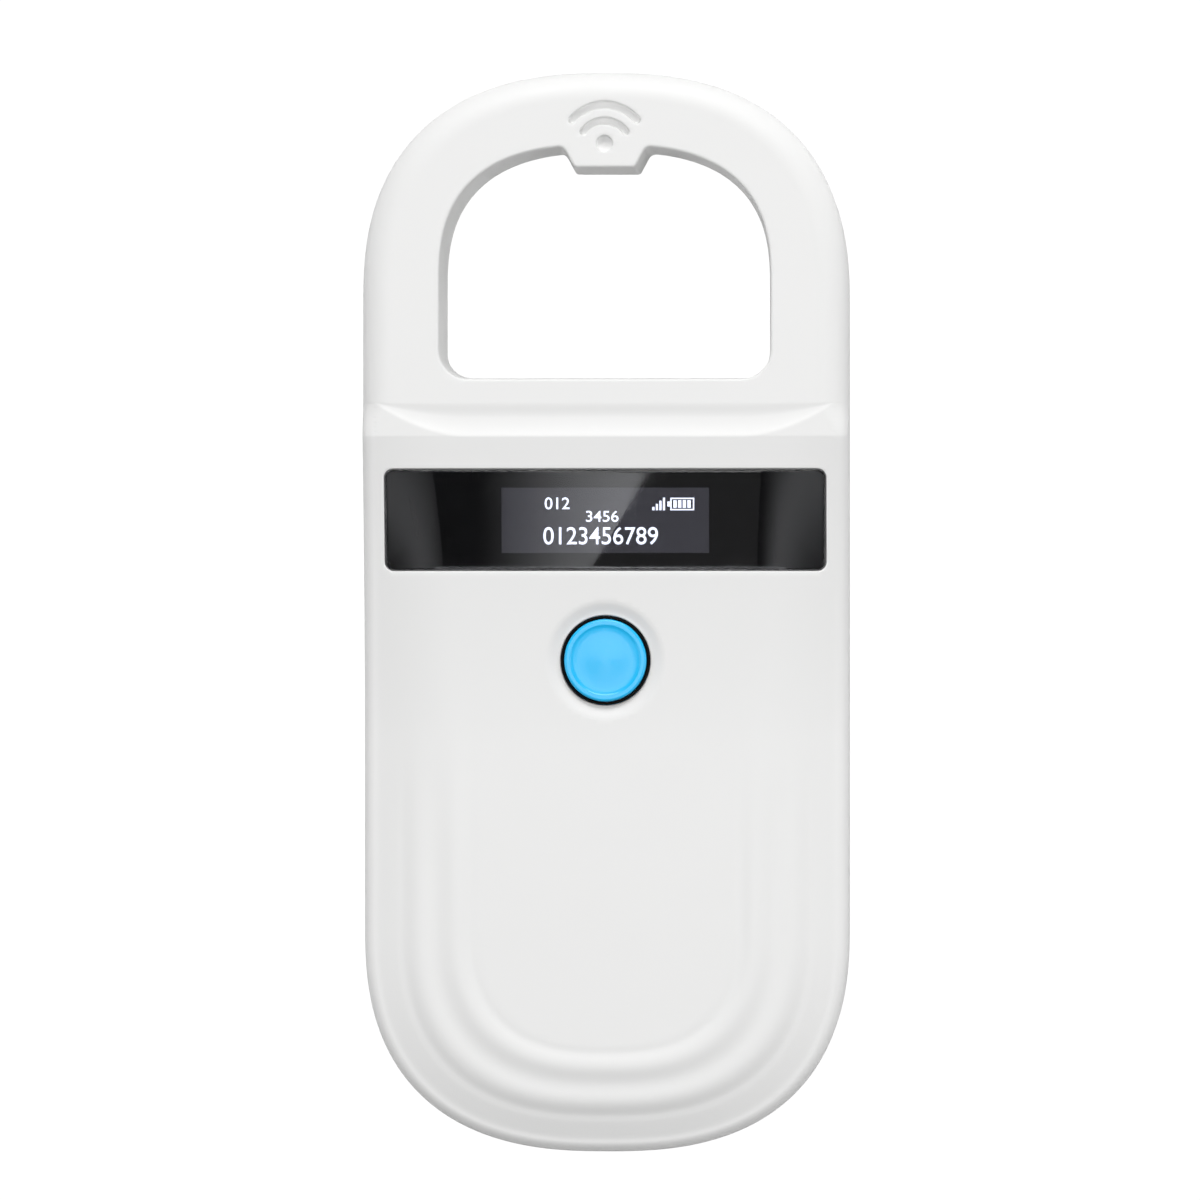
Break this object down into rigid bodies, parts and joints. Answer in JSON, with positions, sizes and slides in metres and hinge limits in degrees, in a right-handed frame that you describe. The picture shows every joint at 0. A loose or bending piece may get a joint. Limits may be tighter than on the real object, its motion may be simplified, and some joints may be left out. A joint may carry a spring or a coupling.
{
  "type": "microchip scanner",
  "caption": "Slim hand-held reader for pet microchips, with a D-shaped antenna loop, a dark display window, a round push button and a charging port at the grip end.",
  "frame": {"origin": "on the back face, under the middle of the casing's box", "axes": "+X across the casing, +Y towards the antenna loop, +Z out of the display face; the scanner lies on its back"},
  "size_m": [0.058, 0.129, 0.0195],
  "materials": {
    "white_shell": "satin moulded ABS, fine spark texture",
    "smoked_window": "polished smoked acrylic",
    "black_tape": "black foam adhesive tape",
    "blue_button": "satin moulded sky blue plastic",
    "black_rubber": "black silicone",
    "paper_label": "blank printed label, laminated",
    "screw_steel": "zinc plated",
    "spring_steel": "tinned sheet",
    "circuit_board": "green solder mask over fibreglass",
    "black_plastic": "moulded black",
    "white_plastic": "natural nylon",
    "panel_glass": "dark display glass",
    "lit_display": "lit display dots",
    "amber_film": "polyimide film",
    "copper_wire": "enamelled copper",
    "pouch_foil": "embossed pouch foil",
    "red_wire": "silicone insulation",
    "black_wire": "silicone insulation"
  },
  "bodies": {
    "root": {"front_shell": "white_shell", "back_shell": "white_shell", "rating_label": "paper_label", "case_screw_1": "screw_steel", "case_screw_2": "screw_steel", "case_screw_3": "screw_steel", "case_screw_4": "screw_steel", "display_window": "smoked_window", "window_tape": "black_tape", "display_holder": "black_plastic", "panel_flex": "amber_film", "display_panel": "panel_glass", "display_polarizer": "panel_glass", "button_ring": "black_rubber", "switch_base": "black_plastic", "switch_cover": "spring_steel", "main_board": "circuit_board", "board_screw_1": "screw_steel", "board_screw_2": "screw_steel", "board_screw_3": "screw_steel", "board_screw_4": "screw_steel", "usb_shell": "spring_steel", "usb_tongue": "black_plastic", "buzzer": "black_plastic", "controller_chip": "black_plastic", "reader_chip": "black_plastic", "memory_chip": "black_plastic", "charge_chip": "black_plastic", "crystal": "spring_steel", "power_inductor": "black_plastic", "radio_board": "circuit_board", "radio_shield": "spring_steel", "tuning_capacitor_1": "amber_film", "tuning_capacitor_2": "amber_film", "tuning_capacitor_3": "amber_film", "antenna_coil": "copper_wire", "coil_former": "black_plastic", "coil_header": "white_plastic", "coil_plug": "white_plastic", "coil_lead_1": "copper_wire", "coil_lead_2": "copper_wire", "battery": "pouch_foil", "battery_tape": "black_tape", "battery_header": "white_plastic", "battery_plug": "white_plastic", "battery_lead_red": "red_wire", "battery_lead_black": "black_wire"},
    "button": {"button_cap": "blue_button"},
    "plunger": {"switch_plunger": "black_plastic"}
  },
  "joints": [
    {"name": "button_press", "type": "slide", "parent": "root", "child": "button", "axis": [0, 0, -1], "range_m": [0, 0.0005], "stiffness_N_per_m": 800},
    {"name": "plunger_press", "type": "slide", "parent": "root", "child": "plunger", "axis": [0, 0, -1], "range_m": [0, 0.0005]}
  ],
  "couplings": [
    {"joint": "plunger_press", "follows": "button_press", "ratio": 1}
  ]
}
